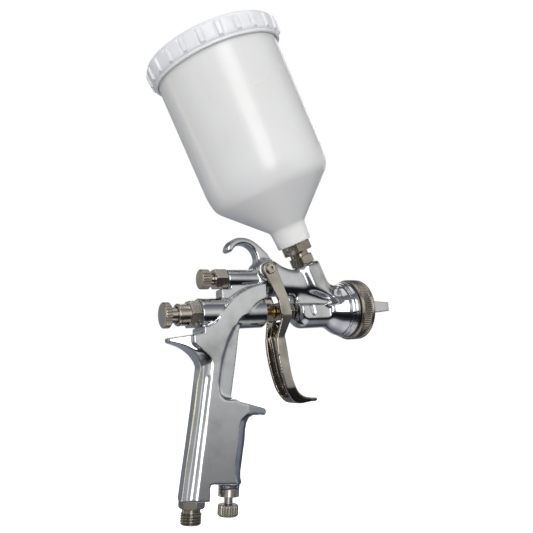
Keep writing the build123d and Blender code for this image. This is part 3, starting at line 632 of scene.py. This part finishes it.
# Studio
studioLook = {
    "floorDrop": 0.05, "floorGlow": 0.9, "floorBack": 5.0, "centre": (0.07, 0, 0.17),
    # what polished metal sees: stops over the height of the direction, in front of the gun and behind it
    "front": [(0.0, (0.80, 0.80, 0.82)), (0.06, (0.70, 0.70, 0.72)), (0.12, (0.05, 0.05, 0.055)),
              (0.21, (0.010, 0.010, 0.012)), (0.31, (0.02, 0.02, 0.024)), (0.38, (0.15, 0.155, 0.165)),
              (0.45, (0.50, 0.505, 0.50)), (0.50, (0.84, 0.845, 0.82)), (0.59, (0.92, 0.92, 0.88)),
              (0.71, (0.42, 0.43, 0.43)), (0.85, (0.20, 0.21, 0.225)), (0.95, (0.14, 0.15, 0.17)),
              (1.0, (0.34, 0.35, 0.36))],
    "back": [(0.0, (0.60, 0.60, 0.64)), (0.07, (0.30, 0.31, 0.36)), (0.18, (0.03, 0.032, 0.04)),
             (0.33, (0.30, 0.33, 0.42)), (0.45, (0.26, 0.29, 0.36)), (0.53, (0.26, 0.29, 0.35)),
             (0.58, (0.62, 0.60, 0.56)), (0.67, (0.62, 0.60, 0.56)), (0.74, (0.06, 0.062, 0.07)),
             (0.85, (0.05, 0.055, 0.065)), (0.95, (0.12, 0.13, 0.14)), (1.0, (0.34, 0.35, 0.36))],
    "leftShade": 0.62, "leftTone": (0.22, 0.235, 0.25),  # the left is darker than the right
    "glossOnly": ("leftSoftbox", "stripSoftbox", "goldStrip"),  # these show in the metal but don't light the cup
    "fillOnly": ("rightFill", "frontFill", "lowFill"),  # and these light the cup but don't show in the metal
    "flag": 0.85, "flagTone": (0.05, 0.055, 0.07),  # dark card at the far right
    "lights": {  # azimuth from the camera, elevation, distance, width, height, watts, colour
        "leftSoftbox": (-52, 16, 1.3, 0.30, 1.2, 0.6, (1, 1, 1)),
        "topSoftbox": (30, 78, 1.4, 1.0, 1.0, 2.8, (1, 1, 1)),
        "rightFill": (80, 24, 1.4, 0.8, 1.2, 5.6, (1, 1, 1)),
        "frontFill": (-10, 20, 1.5, 1.5, 1.5, 12.8, (1, 0.99, 0.98)),
        "lowFill": (-8, -32, 1.3, 1.4, 1.0, 6.4, (1, 0.99, 0.98)),
        "backSoftbox": (172, 34, 1.6, 1.2, 0.6, 2.5, (1, 1, 1)),
        "stripSoftbox": (11, 10, 1.6, 0.66, 1.4, 8.0, (1, 1, 1)),
        "goldStrip": (-101, 4, 1.5, 0.26, 1.8, 1.5, (1.0, 0.86, 0.48)),
    },
}
centre = Vector(studioLook["centre"])
toCamera = atan2(camera.location.y - centre.y, camera.location.x - centre.x)
for name, (azimuth, elevation, distance, width, height, watts, tint) in studioLook["lights"].items():
    heading = toCamera + radians(azimuth)
    rise = radians(elevation)
    lamp = bpy.data.objects.new(name, bpy.data.lights.new(name, "AREA"))
    lamp.data.shape = "RECTANGLE"
    lamp.data.size, lamp.data.size_y, lamp.data.energy = width, height, watts
    lamp.data.color = tint
    lamp.visible_diffuse = name not in studioLook["glossOnly"]
    lamp.visible_glossy = name not in studioLook["fillOnly"]
    lamp.location = centre + Vector((cos(heading) * cos(rise), sin(heading) * cos(rise), sin(rise))) * distance
    lamp.rotation_euler = (lamp.location - centre).to_track_quat("Z", "Y").to_euler()
    bpy.context.scene.collection.objects.link(lamp)

floorMesh = bpy.data.meshes.new("floor")
low = cadBox[0][2] - studioLook["floorDrop"]
reach = studioLook["floorBack"]
floorMesh.from_pydata([(u * reach, v * reach, low) for u, v in ((-1, -1), (1, -1), (1, 1), (-1, 1))], [],
                      [(0, 1, 2, 3)])
floor = bpy.data.objects.new("floor", floorMesh)
bpy.context.scene.collection.objects.link(floor)
floorFinish = bpy.data.materials.new("paleFloor")
floorFinish.use_nodes = True
graph = Graph(floorFinish.node_tree)
place = graph.add("ShaderNodeTexCoord", out=3)
mottle = graph.add("ShaderNodeTexNoise", None, {"Vector": place, "Scale": 4, "Detail": 2})
paleTone = mixed(graph, mottle, (0.90, 0.90, 0.90, 1), (0.93, 0.93, 0.93, 1))
floorShader = graph.add("ShaderNodeBsdfPrincipled", None, {
    "Base Color": paleTone, "Roughness": 0.7, "Emission Color": (1, 1, 1, 1),
    "Emission Strength": studioLook["floorGlow"]})
graph.add("ShaderNodeOutputMaterial", None, {"Surface": floorShader})
dress(floor, floorFinish)
floor.visible_glossy = floor.visible_diffuse = floor.visible_shadow = False  # the metal sees the surround instead

world = bpy.data.worlds.new("studio")
bpy.context.scene.world = world
world.use_nodes = True
graph = Graph(world.node_tree)
seen = graph.add("ShaderNodeLightPath")
heading = graph.add("ShaderNodeTexCoord")
rise = graph.add("ShaderNodeSeparateXYZ", None, {0: heading}, 2) * 0.5 + 0.5
behind = graph.add("ShaderNodeVectorMath", {"operation": "DOT_PRODUCT"},
                   {0: heading, 1: (sin(yaw), cos(yaw), 0)}, 1)
inFront = graph.add("ShaderNodeValToRGB", {"stops": studioLook["front"]}, {0: rise})
atBack = graph.add("ShaderNodeValToRGB", {"stops": studioLook["back"]}, {0: rise})
aside = graph.add("ShaderNodeVectorMath", {"operation": "DOT_PRODUCT"},
                  {0: heading, 1: (cos(yaw), -sin(yaw), 0)}, 1)
tone = mixed(graph, clamped(behind, -0.05, 0.35), inFront, atBack)
flag = clamped(behind, 0.35, 0.7) * clamped(aside, 0.08, 0.35) * (1 - clamped(rise, 0.52, 0.58))
flag = flag * studioLook["flag"]
tone = mixed(graph, flag, tone, rgba(studioLook["flagTone"]))
tone = mixed(graph, clamped(0 - aside, 0.0, 0.45) * studioLook["leftShade"], tone, rgba(studioLook["leftTone"]))
surround = graph.add("ShaderNodeBackground", None, {"Color": tone, "Strength": 1.0})
backdrop = graph.add("ShaderNodeBackground", None, {"Color": (1, 1, 1, 1), "Strength": 1.0})
both = graph.add("ShaderNodeMixShader", None, {0: seen, 1: surround, 2: backdrop})
graph.add("ShaderNodeOutputWorld", None, {"Surface": both})
bpy.context.scene.view_settings.view_transform = "Standard"
print("studio done")
